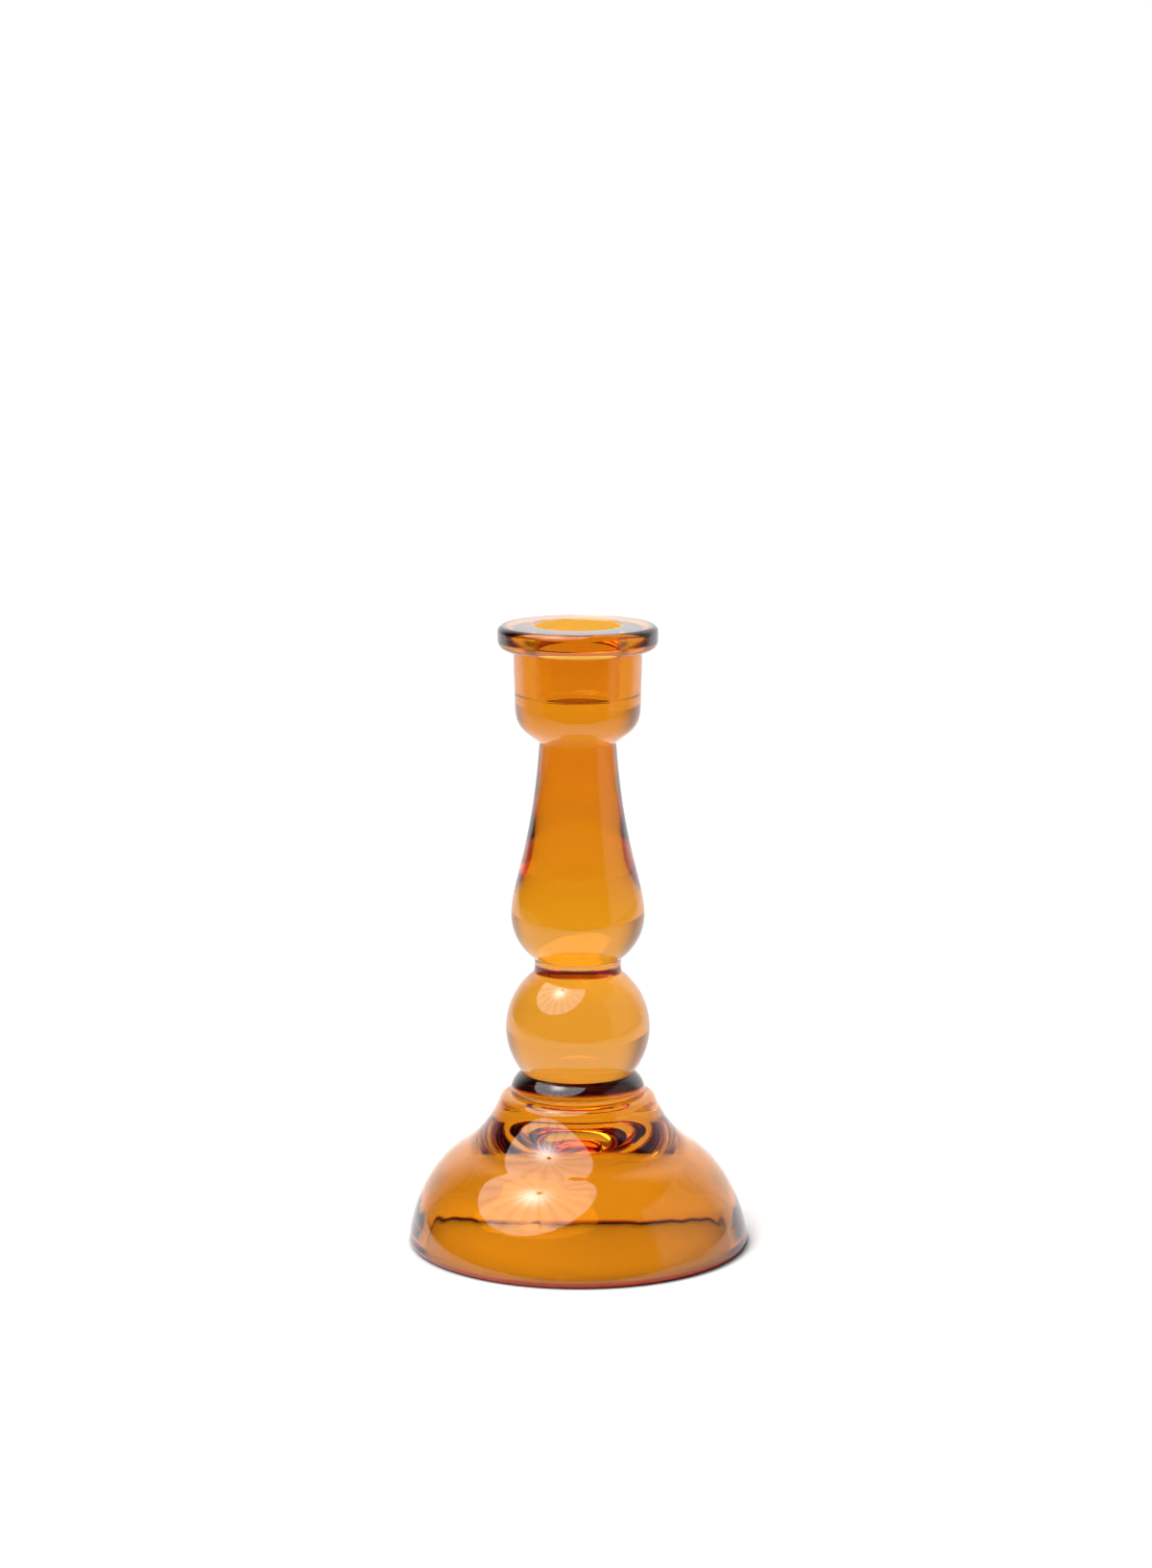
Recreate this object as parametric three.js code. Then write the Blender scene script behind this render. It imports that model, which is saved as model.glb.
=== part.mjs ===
// Amber glass candlestick for one dinner candle: a socket cup with a drip rim, a tall baluster stem,
// a ball knop, a collar and a domed foot that is hollow underneath.
// Every section is turned about the Z axis and stands on z = 0. The sections meet face to face, on the
// flat discs where the glass has its creases, and together they make one continuous wall of glass.
import * as THREE from 'three';

// Driving dimensions, in millimetres. A "z" is a height above the table, all others are radii or lengths.
const TOTAL_HEIGHT = 170;
const FOOT_RADIUS = 46.3;
const RIM_RADIUS = 21.6;
const CUP_RADIUS = 17.4;
const SOCKET_RADIUS = 11.6;
const SOCKET_DEPTH = 19.6;
const BALL_RADIUS = 19.65;
const STEM_RADIUS = 18.15;

// Heights of the creases between the sections.
const FOOT_TOP_Z = 42.1;
const COLLAR_TOP_Z = 47.9;
const BALL_TOP_Z = 75.6;
const NECK_TOP_Z = 79.3;
const STEM_TOP_Z = 138.3;
const RIM_BOTTOM_Z = 163.2;

// Radii of the discs on which neighbouring sections meet.
const COLLAR_SEAT_RADIUS = 18;
const BALL_SEAT_RADIUS = 15.4;
const NECK_RADIUS = 12.05;
const NECK_WAIST_RADIUS = 11.75;
const STEM_TOP_RADIUS = 10.4;

// The hollow under the foot.
const CEILING_Z = 32.5;
const CEILING_RADIUS = 8;
const LIP_RADIUS = 42.6;

// Roundings.
const FOOT_EDGE_WIDTH = 2.5;
const FOOT_EDGE_HEIGHT = 1.9;
const RIM_TOP_EDGE = 1.7;
const MOUTH_EDGE = 0.7;
const SOCKET_DRAFT = 0.4;
const SOCKET_FLOOR_EDGE = 1.2;

// Facets: sides round the axis, and steps along each curve of an outline.
const SIDES = 48;
const CURVE_STEPS = 5;

const QUARTER_TURN = Math.PI / 2;
const glass = { color: 0xd9850f, roughness: 0.03, metalness: 0 };

// An outline is a path of (radius, height) that runs anticlockwise round the glass, from its underside
// outwards and up. Turning it about the axis gives one closed body.
function turned(name, outline) {
  const geometry = new THREE.LatheGeometry(outline.getPoints(CURVE_STEPS), SIDES);
  geometry.rotateX(QUARTER_TURN);
  const mesh = new THREE.Mesh(geometry, new THREE.MeshStandardMaterial(glass));
  mesh.name = name;
  return mesh;
}

// A path that starts on the axis with a flat disc at the given height and radius.
function startOnDisc(z, radius) {
  return new THREE.Path().moveTo(0, z).lineTo(radius, z);
}

// Hollow foot: the ceiling and wall of the hollow, the ring it rests on, a rounded edge, the dome
// that swells and then flares in towards the stem, and a small shoulder under the collar.
function domedFoot() {
  const edgeCentre = FOOT_RADIUS - FOOT_EDGE_WIDTH;
  const wallLean = THREE.MathUtils.degToRad(8);
  return startOnDisc(CEILING_Z, CEILING_RADIUS)
    .bezierCurveTo(18, 31, 38.5, 19.5, 41.1, 10.4)
    .quadraticCurveTo(42.1, 7.2, LIP_RADIUS, 0)
    .lineTo(edgeCentre, 0)
    .absellipse(edgeCentre, FOOT_EDGE_HEIGHT, FOOT_EDGE_WIDTH, FOOT_EDGE_HEIGHT, -QUARTER_TURN, wallLean, false)
    .bezierCurveTo(44.8, 13.5, 38.8, 22.3, 32.8, 26.2)
    .bezierCurveTo(29.2, 28.6, 24.4, 32.6, 21.4, 39.9)
    .bezierCurveTo(20.8, 41.5, 19.8, FOOT_TOP_Z, COLLAR_SEAT_RADIUS, FOOT_TOP_Z)
    .lineTo(0, FOOT_TOP_Z);
}

// Collar: a bead that swells just above the foot and draws in to the ball.
function collar() {
  return startOnDisc(FOOT_TOP_Z, COLLAR_SEAT_RADIUS)
    .bezierCurveTo(18.8, 43.8, 17.4, 46.1, BALL_SEAT_RADIUS, COLLAR_TOP_Z)
    .lineTo(0, COLLAR_TOP_Z);
}

// Ball: a sphere cut flat where it meets the collar and the neck.
function ball() {
  const halfHeight = 19.4;
  const centreZ = 60;
  const bottomAngle = Math.asin((COLLAR_TOP_Z - centreZ) / halfHeight);
  const topAngle = Math.asin((BALL_TOP_Z - centreZ) / halfHeight);
  return startOnDisc(COLLAR_TOP_Z, BALL_RADIUS * Math.cos(bottomAngle))
    .absellipse(0, centreZ, BALL_RADIUS, halfHeight, bottomAngle, topAngle, false)
    .lineTo(0, BALL_TOP_Z);
}

// Neck: a short waisted ring between the ball and the stem.
function neck() {
  const middleZ = (BALL_TOP_Z + NECK_TOP_Z) / 2;
  return startOnDisc(BALL_TOP_Z, NECK_RADIUS)
    .quadraticCurveTo(2 * NECK_WAIST_RADIUS - NECK_RADIUS, middleZ, NECK_RADIUS, NECK_TOP_Z)
    .lineTo(0, NECK_TOP_Z);
}

// Stem: an inverted baluster, round at the bottom and tapering to a slender top.
function stem() {
  const bulbRadius = 14.7;
  const bulbZ = 91.3;
  const bulbCentre = STEM_RADIUS - bulbRadius;
  const bottomAngle = Math.asin((NECK_TOP_Z - bulbZ) / bulbRadius);
  return startOnDisc(NECK_TOP_Z, bulbCentre + bulbRadius * Math.cos(bottomAngle))
    .absarc(bulbCentre, bulbZ, bulbRadius, bottomAngle, 0, false)
    .bezierCurveTo(STEM_RADIUS, 100, 12.4, 109.3, STEM_TOP_RADIUS, STEM_TOP_Z)
    .lineTo(0, STEM_TOP_Z);
}

// Candle cup: a round-bottomed cup, its side leaning out slightly, with a drafted socket for the candle.
function candleCup() {
  const floorZ = TOTAL_HEIGHT - SOCKET_DEPTH;
  const floorRadius = SOCKET_RADIUS - SOCKET_DRAFT;
  return startOnDisc(STEM_TOP_Z, STEM_TOP_RADIUS)
    .bezierCurveTo(14.7, 141.7, 17, 142.2, 17, 149)
    .lineTo(CUP_RADIUS, RIM_BOTTOM_Z)
    .lineTo(SOCKET_RADIUS, RIM_BOTTOM_Z)
    .lineTo(floorRadius, floorZ + SOCKET_FLOOR_EDGE)
    .quadraticCurveTo(floorRadius, floorZ, floorRadius - SOCKET_FLOOR_EDGE, floorZ)
    .lineTo(0, floorZ);
}

// Drip rim: a thick rounded flange round the socket's mouth.
function dripRim() {
  const mouthRadius = SOCKET_RADIUS + MOUTH_EDGE;
  const topEdgeCentre = RIM_RADIUS - RIM_TOP_EDGE;
  return new THREE.Path().moveTo(SOCKET_RADIUS, RIM_BOTTOM_Z)
    .lineTo(18.4, RIM_BOTTOM_Z)
    .bezierCurveTo(20.2, 163.3, RIM_RADIUS, 164.3, RIM_RADIUS, 166.2)
    .absarc(topEdgeCentre, TOTAL_HEIGHT - RIM_TOP_EDGE, RIM_TOP_EDGE, 0, QUARTER_TURN, false)
    .lineTo(mouthRadius, TOTAL_HEIGHT)
    .quadraticCurveTo(SOCKET_RADIUS, TOTAL_HEIGHT, SOCKET_RADIUS, TOTAL_HEIGHT - MOUTH_EDGE)
    .lineTo(SOCKET_RADIUS, RIM_BOTTOM_Z);
}

const candlestick = new THREE.Group();
candlestick.add(
  turned('domed_foot', domedFoot()),
  turned('collar_bead', collar()),
  turned('ball_knop', ball()),
  turned('neck_ring', neck()),
  turned('baluster_stem', stem()),
  turned('candle_cup', candleCup()),
  turned('drip_rim', dripRim()),
);

export default candlestick;
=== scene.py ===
"""An amber pressed-glass candlestick for one dinner candle, on a white studio table.

Every section is turned about the Z axis from an outline of lines and curves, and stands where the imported
model has it. Sections are closed solids that meet on flat discs. Those discs are see-through, so light
crosses them as it crosses one continuous piece of glass.
"""
import math

import bpy
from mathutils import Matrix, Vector


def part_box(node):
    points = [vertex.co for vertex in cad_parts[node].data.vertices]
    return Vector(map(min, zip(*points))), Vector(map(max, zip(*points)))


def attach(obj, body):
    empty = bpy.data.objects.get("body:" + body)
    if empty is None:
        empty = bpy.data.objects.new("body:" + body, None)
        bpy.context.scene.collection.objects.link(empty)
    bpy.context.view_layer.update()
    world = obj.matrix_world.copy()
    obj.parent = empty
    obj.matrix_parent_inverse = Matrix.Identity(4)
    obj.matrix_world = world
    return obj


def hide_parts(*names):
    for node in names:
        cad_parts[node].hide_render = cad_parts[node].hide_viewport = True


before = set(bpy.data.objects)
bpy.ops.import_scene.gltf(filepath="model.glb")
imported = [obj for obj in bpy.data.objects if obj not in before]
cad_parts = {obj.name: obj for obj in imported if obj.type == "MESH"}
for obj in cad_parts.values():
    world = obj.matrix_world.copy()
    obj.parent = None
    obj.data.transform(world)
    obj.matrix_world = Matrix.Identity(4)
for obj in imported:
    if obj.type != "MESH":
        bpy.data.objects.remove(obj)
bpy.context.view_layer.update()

MM = 0.001

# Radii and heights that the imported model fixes, in millimetres.
FOOT_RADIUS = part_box("domed_foot")[1][0] / MM
RIM_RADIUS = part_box("drip_rim")[1][0] / MM
BALL_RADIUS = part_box("ball_knop")[1][0] / MM
STEM_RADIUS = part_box("baluster_stem")[1][0] / MM
CUP_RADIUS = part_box("candle_cup")[1][0] / MM
FOOT_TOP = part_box("domed_foot")[1][2] / MM
COLLAR_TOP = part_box("collar_bead")[1][2] / MM
BALL_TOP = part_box("ball_knop")[1][2] / MM
NECK_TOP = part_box("neck_ring")[1][2] / MM
STEM_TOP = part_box("baluster_stem")[1][2] / MM
CUP_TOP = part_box("candle_cup")[1][2] / MM
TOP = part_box("drip_rim")[1][2] / MM

# Radii of the discs where sections meet.
COLLAR_SEAT = 18.0
BALL_SEAT = 15.4
NECK_RADIUS = 12.05
NECK_WAIST = 11.75
STEM_TOP_RADIUS = 10.4

# The socket, and the hollow under the foot.
SOCKET_RADIUS = 11.6
SOCKET_FLOOR = TOP - 19.6
SOCKET_DRAFT = 0.4
SOCKET_FLOOR_EDGE = 1.2
MOUTH_EDGE = 0.7
RIM_TOP_EDGE = 1.7
FOOT_EDGE = 2.5
FOOT_EDGE_HEIGHT = 1.9
CEILING = 32.5
CEILING_RADIUS = 8.0
LIP_RADIUS = 42.6

SIDES = 256
CURVE_STEPS = 24
CREASE = math.radians(24)

COATED, CLEAR, SEAM = range(3)

GLASS_IOR = 1.52
MOULD_RIPPLE = 0.00001

# Powers that deepen the coating's colour: for light mirrored inside the glass, and, on top of one, for
# painted shade along the foot's bottom edge.
INSIDE_DEPTH = 1.2
PAINTED_SHADE_POWER = 2.6

# Strengths of the studio's surroundings: behind the object, to its right, on the camera's side, as seen
# through the glass, and as the camera sees them all round.
BACKDROP = 1.6
RIGHT_WALL = 0.75
DARK_SIDE = 0.07
THROUGH_GLASS = 0.55
SEEN_WHITE = 1.4

# The umbrella lamp. Directions are degrees of turn from the camera's side and of rise.
LAMP = (-60, 61)
LAMP_HUB = (-61, 67)
LAMP_RIBS = 16
LAMP_GLOW = 9.5
LAMP_CORE_GLOW = 34

# The table top, in metres, and how white its paper is. Its front edge lies just below the picture.
TABLE_SIDE = 2.5
TABLE_FRONT = -0.27
TABLE_BACK = 3.5
PAPER = 0.52

# Where the camera stands, in metres, how far it looks down, in degrees, and its lens and sensor, in
# millimetres.
CAMERA_PLACE = (-0.0005, -1.067, 0.318)
CAMERA_TILT = 10.157
CAMERA_LENS = 92.7
CAMERA_SENSOR = 36


class Outline:
    """Points (radius, height) in millimetres, with the kind of surface of each stretch between them."""

    def __init__(self, radius, height):
        self.points = [(radius, height)]
        self.kinds = []

    def line(self, radius, height, kind):
        self.points.append((radius, height))
        self.kinds.append(kind)
        return self

    def curve(self, *control, kind):
        """A Bezier curve through two or three control points, from the last point."""
        start = self.points[-1]
        poles = [Vector(p) for p in (start, *control)]
        for step in range(1, CURVE_STEPS + 1):
            t = step / CURVE_STEPS
            level = poles
            while len(level) > 1:
                level = [a.lerp(b, t) for a, b in zip(level, level[1:])]
            self.line(*level[0], kind)
        return self

    def arc(self, centre, radii, start, end, kind):
        """Part of an ellipse, with angles measured up from the outward direction."""
        for step in range(1, CURVE_STEPS + 1):
            angle = start + (end - start) * step / CURVE_STEPS
            self.line(centre[0] + radii[0] * math.cos(angle), centre[1] + radii[1] * math.sin(angle), kind)
        return self


def domed_foot():
    """The hollow's ceiling and wall, the ring it stands on, the dome and the shoulder under the collar."""
    edge = FOOT_RADIUS - FOOT_EDGE
    lean = math.radians(8)
    outline = Outline(0, CEILING).line(CEILING_RADIUS, CEILING, CLEAR)
    outline.curve((18, 31), (38.5, 19.5), (41.1, 10.4), kind=CLEAR)
    outline.curve((42.1, 7.2), (LIP_RADIUS, 0), kind=CLEAR)
    outline.line(edge, 0, COATED)
    outline.arc((edge, FOOT_EDGE_HEIGHT), (FOOT_EDGE, FOOT_EDGE_HEIGHT), -math.pi / 2, lean, COATED)
    outline.curve((44.8, 13.5), (38.8, 22.3), (32.8, 26.2), kind=COATED)
    outline.curve((29.2, 28.6), (24.4, 32.6), (21.4, 39.9), kind=COATED)
    outline.curve((20.8, 41.5), (19.8, FOOT_TOP), (COLLAR_SEAT, FOOT_TOP), kind=COATED)
    return outline.line(0, FOOT_TOP, SEAM)


def collar_bead():
    """A bead that swells just above the foot and draws in to the ball."""
    outline = Outline(0, FOOT_TOP).line(COLLAR_SEAT, FOOT_TOP, SEAM)
    outline.curve((18.8, 43.8), (17.4, 46.1), (BALL_SEAT, COLLAR_TOP), kind=COATED)
    return outline.line(0, COLLAR_TOP, SEAM)


def ball_knop():
    """A ball cut flat where it meets the collar and the neck."""
    half_height = 19.4
    centre = 60
    low = math.asin((COLLAR_TOP - centre) / half_height)
    high = math.asin((BALL_TOP - centre) / half_height)
    outline = Outline(0, COLLAR_TOP).line(BALL_RADIUS * math.cos(low), COLLAR_TOP, SEAM)
    outline.arc((0, centre), (BALL_RADIUS, half_height), low, high, COATED)
    return outline.line(0, BALL_TOP, SEAM)


def neck_ring():
    """A short waisted ring between the ball and the stem."""
    middle = (BALL_TOP + NECK_TOP) / 2
    outline = Outline(0, BALL_TOP).line(NECK_RADIUS, BALL_TOP, SEAM)
    outline.curve((2 * NECK_WAIST - NECK_RADIUS, middle), (NECK_RADIUS, NECK_TOP), kind=COATED)
    return outline.line(0, NECK_TOP, SEAM)


def baluster_stem():
    """An inverted baluster, round at the bottom and tapering to a slender top."""
    bulb = 14.7
    bulb_height = 91.3
    bulb_centre = STEM_RADIUS - bulb
    low = math.asin((NECK_TOP - bulb_height) / bulb)
    outline = Outline(0, NECK_TOP).line(bulb_centre + bulb * math.cos(low), NECK_TOP, SEAM)
    outline.arc((bulb_centre, bulb_height), (bulb, bulb), low, 0, COATED)
    outline.curve((STEM_RADIUS, 100), (12.4, 109.3), (STEM_TOP_RADIUS, STEM_TOP), kind=COATED)
    return outline.line(0, STEM_TOP, SEAM)


def candle_cup():
    """A round-bottomed cup, its side leaning out slightly, with a drafted socket for the candle."""
    floor_radius = SOCKET_RADIUS - SOCKET_DRAFT
    outline = Outline(0, STEM_TOP).line(STEM_TOP_RADIUS, STEM_TOP, SEAM)
    outline.curve((14.7, 141.7), (17, 142.2), (17, 149), kind=COATED)
    outline.line(CUP_RADIUS, CUP_TOP, COATED)
    outline.line(SOCKET_RADIUS, CUP_TOP, SEAM)
    outline.line(floor_radius, SOCKET_FLOOR + SOCKET_FLOOR_EDGE, CLEAR)
    outline.curve((floor_radius, SOCKET_FLOOR), (floor_radius - SOCKET_FLOOR_EDGE, SOCKET_FLOOR), kind=CLEAR)
    return outline.line(0, SOCKET_FLOOR, CLEAR)


def drip_rim():
    """A thick rounded flange round the socket's mouth."""
    mouth = SOCKET_RADIUS + MOUTH_EDGE
    edge = RIM_RADIUS - RIM_TOP_EDGE
    outline = Outline(SOCKET_RADIUS, CUP_TOP).line(CUP_RADIUS, CUP_TOP, SEAM)
    outline.line(18.4, CUP_TOP, COATED)
    outline.curve((20.2, 163.3), (RIM_RADIUS, 164.3), (RIM_RADIUS, 166.2), kind=COATED)
    outline.line(RIM_RADIUS, TOP - RIM_TOP_EDGE, COATED)
    outline.arc((edge, TOP - RIM_TOP_EDGE), (RIM_TOP_EDGE, RIM_TOP_EDGE), 0, math.pi / 2, COATED)
    outline.line(mouth, TOP, COATED)
    outline.curve((SOCKET_RADIUS, TOP), (SOCKET_RADIUS, TOP - MOUTH_EDGE), kind=CLEAR)
    return outline.line(SOCKET_RADIUS, CUP_TOP, CLEAR)


def lip_sway(radius, height, turn):
    """How far the hollow's wall wanders up and down round the top of its lip, in millimetres."""
    near_lip = math.exp(-((height - 10.4) / 3) ** 2) if 38 < radius < 42.5 else 0
    waves = ((3, 0.5, 0.10), (7, 1.9, 0.09), (13, 4.1, 0.08), (23, 2.6, 0.06), (41, 5.2, 0.045))
    return near_lip * sum(size * math.sin(count * turn + start) for count, start, size in waves)


def turned(name, outline, materials):
    """Turns an outline about the Z axis into one closed mesh, smooth between its creases."""
    points = list(outline.points)
    kinds = outline.kinds
    closed = points[0] == points[-1]
    if closed:
        points.pop()
    rings = []
    verts = []
    for index, (radius, height) in enumerate(points):
        if radius == 0:
            rings.append([len(verts)] * SIDES)
            verts.append((0, 0, height * MM))
            continue
        rings.append(range(len(verts), len(verts) + SIDES))
        for side in range(SIDES):
            turn = 2 * math.pi * side / SIDES
            sway = lip_sway(radius, height, turn) if kinds[index] == CLEAR else 0
            verts.append((radius * MM * math.cos(turn), radius * MM * math.sin(turn), (height + sway) * MM))
    faces = []
    slots = []
    for index, kind in enumerate(kinds):
        low = rings[index]
        high = rings[(index + 1) % len(rings)]
        for side in range(SIDES):
            after = (side + 1) % SIDES
            corners = [low[side], low[after], high[after], high[side]]
            faces.append(list(dict.fromkeys(corners)))
            slots.append(kind)
    mesh = bpy.data.meshes.new(name)
    mesh.from_pydata(verts, [], faces)
    mesh.polygons.foreach_set("material_index", slots)
    mesh.shade_smooth()
    mesh.set_sharp_from_angle(angle=CREASE)
    for material in materials:
        mesh.materials.append(material)
    piece = bpy.data.objects.new(name, mesh)
    bpy.context.collection.objects.link(piece)
    return piece


def new_material(name):
    """An empty material, with its nodes and links."""
    material = bpy.data.materials.new(name)
    material.use_nodes = True
    tree = material.node_tree
    tree.nodes.clear()
    return material, tree.nodes, tree.links


class Graph:
    """Short calls for building a node tree."""

    def __init__(self, tree):
        self.nodes = tree.nodes
        self.links = tree.links

    def put(self, value, socket):
        if isinstance(value, bpy.types.NodeSocket):
            self.links.new(value, socket)
        else:
            socket.default_value = value

    def math(self, operation, *values):
        node = self.nodes.new("ShaderNodeMath")
        node.operation = operation
        for value, socket in zip(values, node.inputs):
            self.put(value, socket)
        return node.outputs[0]

    def dot(self, vector, axis):
        node = self.nodes.new("ShaderNodeVectorMath")
        node.operation = "DOT_PRODUCT"
        self.put(vector, node.inputs[0])
        node.inputs[1].default_value = axis
        return node.outputs["Value"]

    def step(self, value, start, end):
        """Smooth step from 0 at start to 1 at end."""
        node = self.nodes.new("ShaderNodeMapRange")
        node.interpolation_type = "SMOOTHSTEP"
        self.put(value, node.inputs["Value"])
        low, high = (0, 1) if start < end else (1, 0)
        node.inputs["From Min"].default_value = min(start, end)
        node.inputs["From Max"].default_value = max(start, end)
        node.inputs["To Min"].default_value = low
        node.inputs["To Max"].default_value = high
        return node.outputs["Result"]

    def noise(self, place, scale, detail):
        node = self.nodes.new("ShaderNodeTexNoise")
        node.inputs["Scale"].default_value = scale
        node.inputs["Detail"].default_value = detail
        self.links.new(place, node.inputs["Vector"])
        return node.outputs["Fac"]

    def ramp(self, value, stops):
        """Colours blended between (position, colour) stops."""
        node = self.nodes.new("ShaderNodeValToRGB")
        elements = node.color_ramp.elements
        while len(elements) < len(stops):
            elements.new(1)
        for element, (position, colour) in zip(elements, stops):
            element.position = position
            element.color = (*colour, 1)
        self.links.new(value, node.inputs["Fac"])
        return node.outputs["Color"]


# Colour of the coating as light crosses it twice, from the table up: (height, colour).
COAT = [
    (0, (0.62, 0.205, 0.004)),
    (44, (0.61, 0.20, 0.004)),
    (49, (0.65, 0.265, 0.022)),
    (74, (0.67, 0.28, 0.020)),
    (90, (0.65, 0.26, 0.006)),
    (98, (0.60, 0.22, 0.004)),
    (108, (0.58, 0.188, 0.004)),
    (136, (0.56, 0.15, 0.003)),
    (142, (0.63, 0.21, 0.0035)),
    (161, (0.62, 0.20, 0.0035)),
    (165, (0.63, 0.205, 0.005)),
]

# Tint of the inner surfaces, from the table up: (share of the whole height, colour).
INNER_TINT = [
    (0.2, (0.97, 0.96, 0.93)),
    (0.8, (0.95, 0.93, 0.85)),
    (0.9, (0.96, 0.85, 0.72)),
    (1, (0.88, 0.68, 0.5)),
]


def coat_colour(g, place):
    """The coating's colour at each height, a little uneven, with painted shade along the foot's bottom edge.
    """
    split = g.nodes.new("ShaderNodeSeparateXYZ")
    g.links.new(place, split.inputs[0])
    height = g.math("DIVIDE", split.outputs["Z"], TOP * MM)
    cloud = g.noise(place, 45, 3)
    drift = g.math("MULTIPLY_ADD", cloud, 0.05, height)
    level = g.math("SUBTRACT", drift, 0.025)
    even = g.ramp(level, [(z / TOP, colour) for z, colour in COAT])
    # Painted shade: the colour is deepened along the foot's bottom edge, below about 2 mm.
    shaded_edge_colour = g.nodes.new("ShaderNodeGamma")
    painted_shade_power = g.math("MULTIPLY_ADD", g.step(split.outputs["Z"], 0.0022, 0.0012), PAINTED_SHADE_POWER, 1)
    g.put(even, shaded_edge_colour.inputs["Color"])
    g.put(painted_shade_power, shaded_edge_colour.inputs["Gamma"])
    return shaded_edge_colour.outputs[0]


def glass_surface(g, colour, place):
    """Principled glass with a faint mould ripple."""
    shader = g.nodes.new("ShaderNodeBsdfPrincipled")
    shader.inputs["Transmission Weight"].default_value = 1
    shader.inputs["IOR"].default_value = GLASS_IOR
    shader.inputs["Roughness"].default_value = 0
    g.links.new(colour, shader.inputs["Base Color"])
    bump = g.nodes.new("ShaderNodeBump")
    bump.inputs["Strength"].default_value = 1
    bump.inputs["Distance"].default_value = MOULD_RIPPLE
    g.links.new(g.noise(place, 90, 1), bump.inputs["Height"])
    g.links.new(bump.outputs["Normal"], shader.inputs["Normal"])
    return shader.outputs[0], bump.outputs["Normal"]


def coated_glass():
    """Glass with an amber coating outside. Light mirrored inside the glass passes the coating twice more."""
    material, nodes, links = new_material("amber_coated_glass")
    g = Graph(material.node_tree)
    output = nodes.new("ShaderNodeOutputMaterial")
    place = nodes.new("ShaderNodeTexCoord").outputs["Object"]
    colour = coat_colour(g, place)
    surface, normal = glass_surface(g, colour, place)
    deeper = nodes.new("ShaderNodeGamma")
    # Light mirrored inside the flare above the hollow and inside the rim is deepened less, to match the
    # photo.
    split = nodes.new("ShaderNodeSeparateXYZ")
    links.new(place, split.inputs[0])
    height = split.outputs["Z"]
    flare = g.math("MULTIPLY", g.step(height, 0.0235, 0.0265), g.step(height, 0.038, 0.036))
    thin = g.math("MAXIMUM", flare, g.math("MULTIPLY", g.step(height, 0.162, 0.1632), 0.7))
    g.put(g.math("MULTIPLY_ADD", thin, -INSIDE_DEPTH, INSIDE_DEPTH), deeper.inputs["Gamma"])
    links.new(colour, deeper.inputs["Color"])
    mirror = nodes.new("ShaderNodeBsdfGlossy")
    mirror.inputs["Roughness"].default_value = 0
    links.new(deeper.outputs[0], mirror.inputs["Color"])
    links.new(normal, mirror.inputs["Normal"])
    fresnel = nodes.new("ShaderNodeFresnel")
    fresnel.inputs["IOR"].default_value = GLASS_IOR
    links.new(normal, fresnel.inputs["Normal"])
    inside = nodes.new("ShaderNodeNewGeometry").outputs["Backfacing"]
    mix = nodes.new("ShaderNodeMixShader")
    links.new(g.math("MULTIPLY", inside, fresnel.outputs[0]), mix.inputs["Fac"])
    links.new(surface, mix.inputs[1])
    links.new(mirror.outputs[0], mix.inputs[2])
    links.new(mix.outputs[0], output.inputs["Surface"])
    return material


def inner_glass():
    """The socket and the hollow, where only a little of the coating reached."""
    material, nodes, links = new_material("inner_glass")
    g = Graph(material.node_tree)
    output = nodes.new("ShaderNodeOutputMaterial")
    place = nodes.new("ShaderNodeTexCoord").outputs["Object"]
    split = nodes.new("ShaderNodeSeparateXYZ")
    links.new(place, split.inputs[0])
    height = g.math("DIVIDE", split.outputs["Z"], TOP * MM)
    drift = g.math("MULTIPLY_ADD", g.noise(place, 60, 2), 0.04, height)
    surface, _ = glass_surface(g, g.ramp(drift, INNER_TINT), place)
    links.new(surface, output.inputs["Surface"])
    return material


def seam():
    """The disc between two fused sections, which light crosses unchanged."""
    material, nodes, links = new_material("fused_seam")
    output = nodes.new("ShaderNodeOutputMaterial")
    shader = nodes.new("ShaderNodeBsdfTransparent")
    links.new(shader.outputs[0], output.inputs["Surface"])
    return material


materials = [coated_glass(), inner_glass(), seam()]
for make in (domed_foot, collar_bead, ball_knop, neck_ring, baluster_stem, candle_cup, drip_rim):
    piece = turned("glass_" + make.__name__, make(), materials)
    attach(piece, "root")
    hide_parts(make.__name__)


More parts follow.
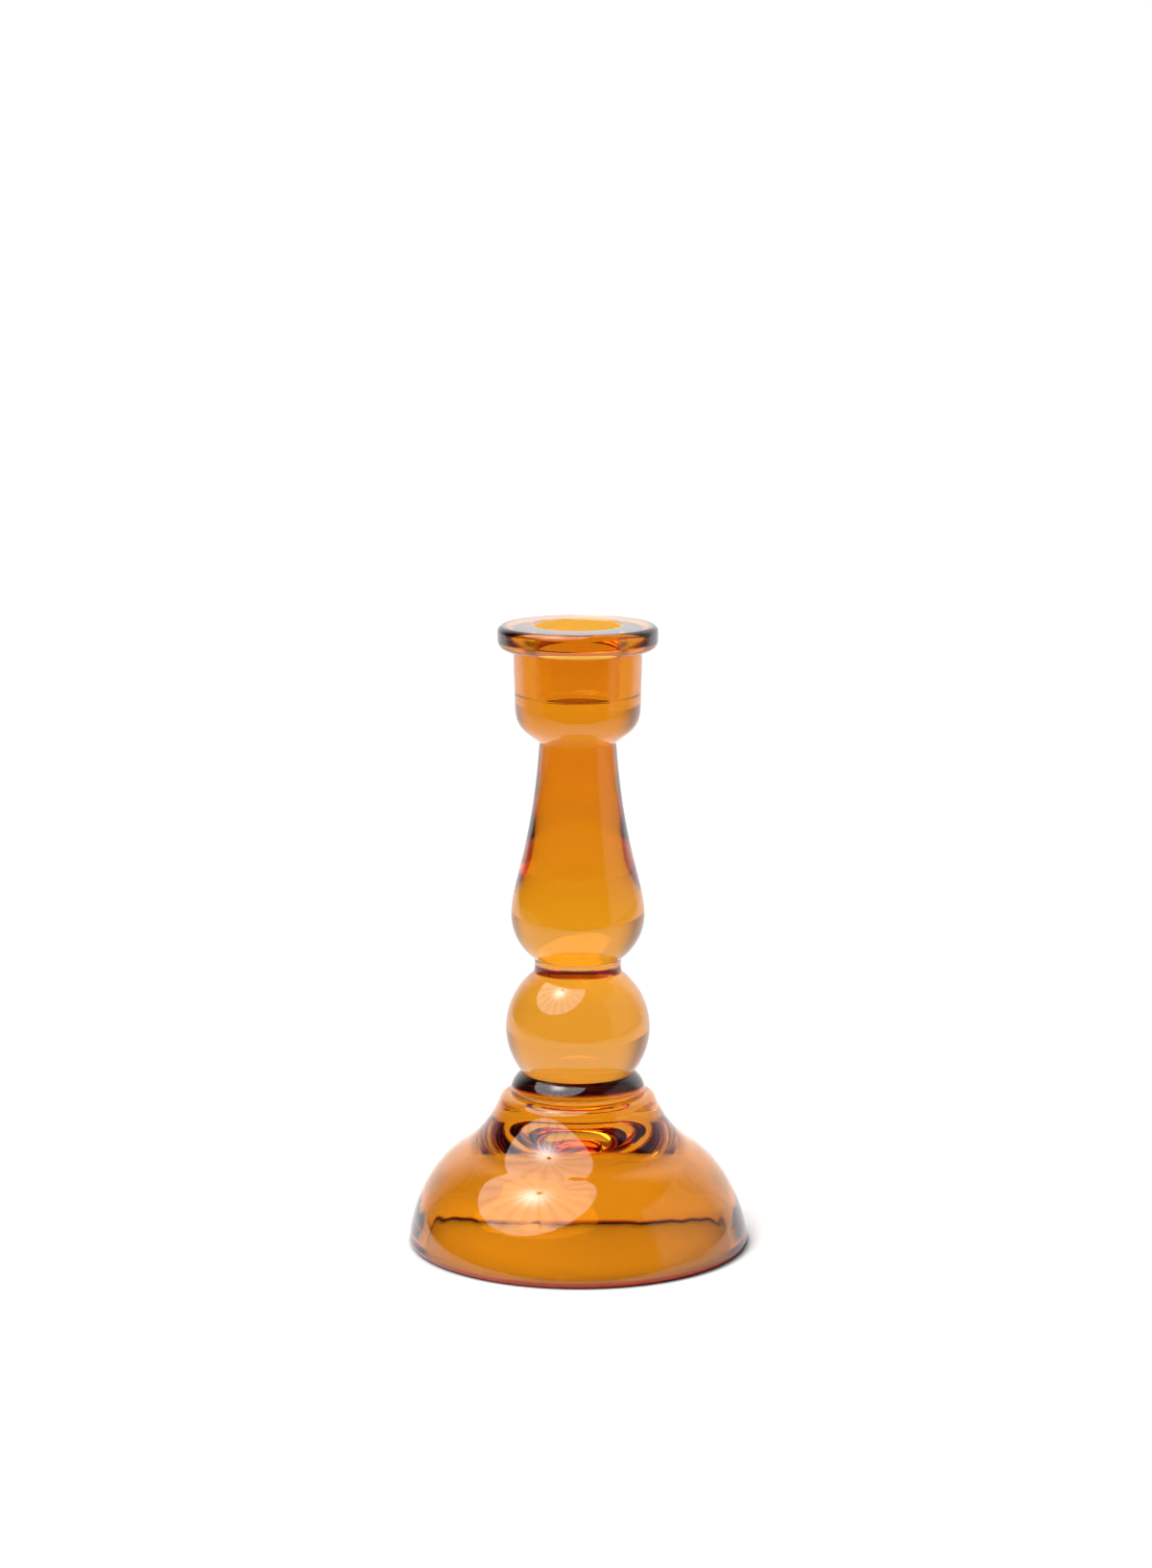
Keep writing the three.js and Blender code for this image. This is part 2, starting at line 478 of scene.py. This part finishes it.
def table():
    """White paper on a table top."""
    mesh = bpy.data.meshes.new("table_top")
    front = [(-TABLE_SIDE, TABLE_FRONT, 0), (TABLE_SIDE, TABLE_FRONT, 0)]
    corners = front + [(TABLE_SIDE, TABLE_BACK, 0), (-TABLE_SIDE, TABLE_BACK, 0)]
    mesh.from_pydata(corners, [], [(0, 1, 2, 3)])
    board = bpy.data.objects.new("table_top", mesh)
    bpy.context.collection.objects.link(board)
    material, nodes, links = new_material("white_paper")
    g = Graph(material.node_tree)
    output = nodes.new("ShaderNodeOutputMaterial")
    shader = nodes.new("ShaderNodeBsdfDiffuse")
    place = nodes.new("ShaderNodeTexCoord").outputs["Object"]
    away = nodes.new("ShaderNodeVectorMath")
    away.operation = "LENGTH"
    links.new(place, away.inputs[0])
    split = nodes.new("ShaderNodeSeparateXYZ")
    links.new(place, split.inputs[0])
    # Painted light: the paper is lighter near the foot and lightest under it, most so on its right.
    near = g.math("MULTIPLY_ADD", g.step(away.outputs["Value"], 0.16, 0.05), 0.1, PAPER)
    under = g.math("MULTIPLY_ADD", g.step(split.outputs["X"], 0.005, 0.03), 0.13, 0.15)
    under = g.math("MULTIPLY", under, g.step(away.outputs["Value"], 0.045, 0.042))
    near = g.math("ADD", near, under)
    # Painted shade: in reflections the paper's light falls off toward its front corners, so they are grey
    # there.
    aside = g.math("SUBTRACT", g.math("ABSOLUTE", split.outputs["X"]), split.outputs["Y"])
    middle = g.math("MULTIPLY_ADD", g.step(aside, 0.7, 0.18), 0.75, 0.25)
    mirrored = nodes.new("ShaderNodeLightPath").outputs["Is Reflection Ray"]
    middle = g.math("MAXIMUM", middle, g.math("SUBTRACT", 1, mirrored))
    # Painted shadow: a faint dark line where the foot's rounded edge overhangs the paper.
    begins = g.step(away.outputs["Value"], 0.042, 0.044)
    ends = g.step(away.outputs["Value"], 0.048, 0.0463)
    overhang = g.math("MULTIPLY", begins, ends)
    painted_contact_shadow = g.math("MULTIPLY_ADD", overhang, -0.35, 1)
    links.new(g.math("MULTIPLY", g.math("MULTIPLY", near, middle), painted_contact_shadow), shader.inputs["Color"])
    links.new(shader.outputs[0], output.inputs["Surface"])
    mesh.materials.append(material)


table()


def aim(turn, rise):
    """A direction given in degrees, from the camera's side and up, with the two axes across it."""
    turn, rise = math.radians(turn), math.radians(rise)
    axis = Vector((math.sin(turn) * math.cos(rise), -math.cos(turn) * math.cos(rise), math.sin(rise)))
    across = axis.cross(Vector((0, 0, 1))).normalized()
    return axis, across, across.cross(axis)


def studio():
    """White studio all round, dark on the camera's side, with a big ribbed umbrella lamp to its left."""
    world = bpy.data.worlds.new("studio")
    world.use_nodes = True
    bpy.context.scene.world = world
    world.node_tree.nodes.clear()
    g = Graph(world.node_tree)
    output = g.nodes.new("ShaderNodeOutputWorld")
    sky = g.nodes.new("ShaderNodeBackground")
    g.links.new(sky.outputs[0], output.inputs["Surface"])
    coords = g.nodes.new("ShaderNodeTexCoord")
    way = coords.outputs["Generated"]
    split = g.nodes.new("ShaderNodeSeparateXYZ")
    g.links.new(way, split.inputs[0])
    x, y, z = split.outputs
    turn = g.math("ARCTAN2", x, g.math("MULTIPLY", y, -1))
    rise = g.math("ARCSINE", z)
    rad = math.radians
    # A right-hand wall from beside the camera round to the back, and a bright sweep of paper behind.
    low = g.step(rise, rad(48), rad(42))
    right = g.math("MULTIPLY_ADD", g.step(turn, rad(80), rad(115)), -0.1, RIGHT_WALL)
    right = g.math("MULTIPLY", g.math("MULTIPLY", right, g.step(turn, rad(53), rad(62))), low)
    back = g.math("MAXIMUM", g.step(turn, rad(100), rad(140)), g.step(turn, rad(-115), rad(-155)))
    back = g.math("MULTIPLY", g.math("MULTIPLY", back, g.step(rise, rad(80), rad(60))), BACKDROP)
    level = g.math("MAXIMUM", g.math("MAXIMUM", back, DARK_SIDE), right)
    # Seen through the glass, the walls are never quite dark.
    path = g.nodes.new("ShaderNodeLightPath")
    walls = g.math("MULTIPLY", path.outputs["Is Transmission Ray"], g.step(rise, rad(75), rad(60)))
    level = g.math("MAXIMUM", level, g.math("MULTIPLY", walls, THROUGH_GLASS))
    # The umbrella: a round patch of light, brightest at its middle, with ribs from a dark hub above that.
    axis, _, _ = aim(*LAMP)
    hub_axis, hub_across, hub_up = aim(*LAMP_HUB)
    away = g.math("ARCCOSINE", g.dot(way, axis))
    disc = g.step(away, rad(35.5), rad(34))
    core = g.math("POWER", g.step(away, rad(28), rad(0)), 4)
    glow = g.math("MULTIPLY_ADD", core, LAMP_CORE_GLOW, LAMP_GLOW)
    spin = g.math("ARCTAN2", g.dot(way, hub_up), g.dot(way, hub_across))
    wave = g.math("ABSOLUTE", g.math("SINE", g.math("MULTIPLY", spin, LAMP_RIBS / 2)))
    ribs = g.math("POWER", wave, 0.4)
    hub = g.step(g.math("ARCCOSINE", g.dot(way, hub_axis)), rad(1), rad(2.5))
    shaded = g.math("MULTIPLY", g.math("MULTIPLY", glow, g.math("MULTIPLY_ADD", ribs, 0.5, 0.5)), hub)
    # Mirrored in the glass the umbrella is dimmer, so that it lights the table without glaring.
    dimmed = g.math("MULTIPLY_ADD", path.outputs["Is Reflection Ray"], -0.5, 1)
    lamp = g.math("MULTIPLY", g.math("MULTIPLY", shaded, disc), dimmed)
    lit = g.math("ADD", level, lamp)
    # The camera itself sees plain white all round.
    seen = g.nodes.new("ShaderNodeMix")
    g.links.new(path.outputs["Is Camera Ray"], seen.inputs[0])
    g.links.new(lit, seen.inputs[2])
    seen.inputs[3].default_value = SEEN_WHITE
    g.links.new(seen.outputs[0], sky.inputs["Strength"])


studio()


def camera():
    """Camera a metre in front, looking down on the candlestick."""
    data = bpy.data.cameras.new("camera")
    data.lens = CAMERA_LENS
    data.sensor_width = CAMERA_SENSOR
    eye = bpy.data.objects.new("camera", data)
    eye.location = CAMERA_PLACE
    eye.rotation_euler = (math.radians(90 - CAMERA_TILT), 0, 0)
    bpy.context.collection.objects.link(eye)
    bpy.context.scene.camera = eye


camera()

scene = bpy.context.scene
scene.view_settings.view_transform = "Standard"
# Light crosses many surfaces of the glass before it leaves.
scene.cycles.max_bounces = 32
scene.cycles.transmission_bounces = 32
scene.cycles.glossy_bounces = 24
scene.cycles.transparent_max_bounces = 64
